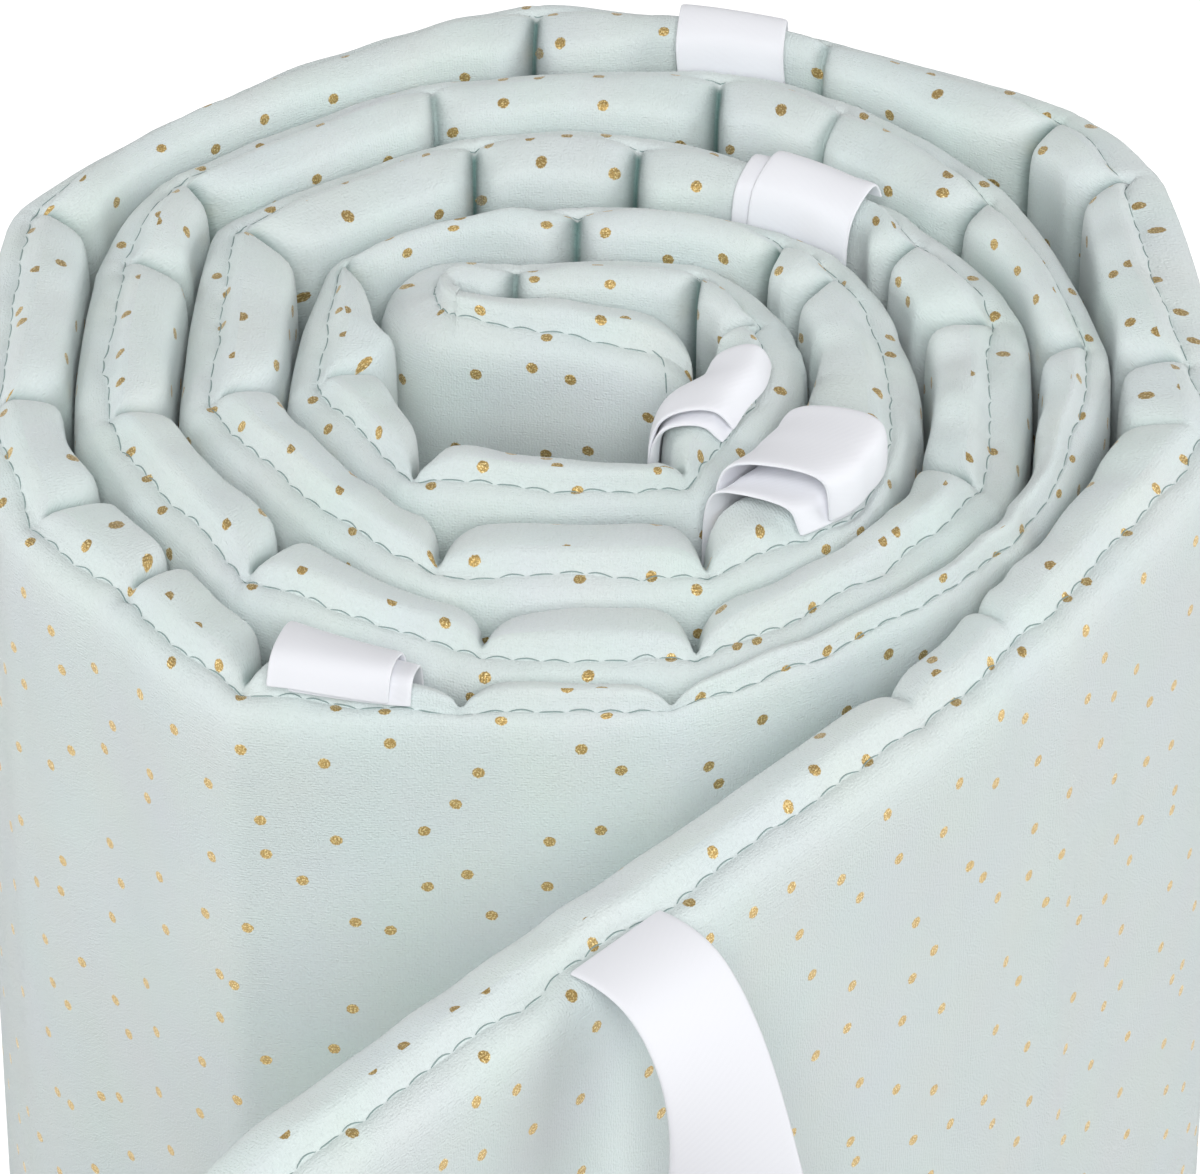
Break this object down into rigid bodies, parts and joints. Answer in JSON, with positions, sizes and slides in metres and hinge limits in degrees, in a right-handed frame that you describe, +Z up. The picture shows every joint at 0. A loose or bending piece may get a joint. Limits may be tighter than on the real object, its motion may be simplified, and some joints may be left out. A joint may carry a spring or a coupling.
{
  "type": "crib bumper",
  "caption": "Padded crib bumper in dotted cotton, rolled up and stood on its long edge, with flat tape ties along its top seam and a free end leaving the roll.",
  "frame": {"origin": "on the surface that the roll stands on, under the middle of the whole footprint", "axes": "+Z up along the roll's height, -Y to the front, where the free end leaves the roll, +X to the viewer's right"},
  "size_m": [0.2202, 0.3367, 0.3098],
  "materials": {
    "cotton": "matte woven cotton, pale mint with small gold dots",
    "tape": "matte white cotton tape"
  },
  "bodies": {
    "root": {"bumper": "cotton", "tie_1_under": "tape", "tie_1_over": "tape", "tie_2_under": "tape", "tie_2_over": "tape", "tie_3_under": "tape", "tie_3_over": "tape", "tie_4_under": "tape", "tie_4_over": "tape", "tie_5": "tape", "tie_6": "tape"}
  },
  "joints": []
}
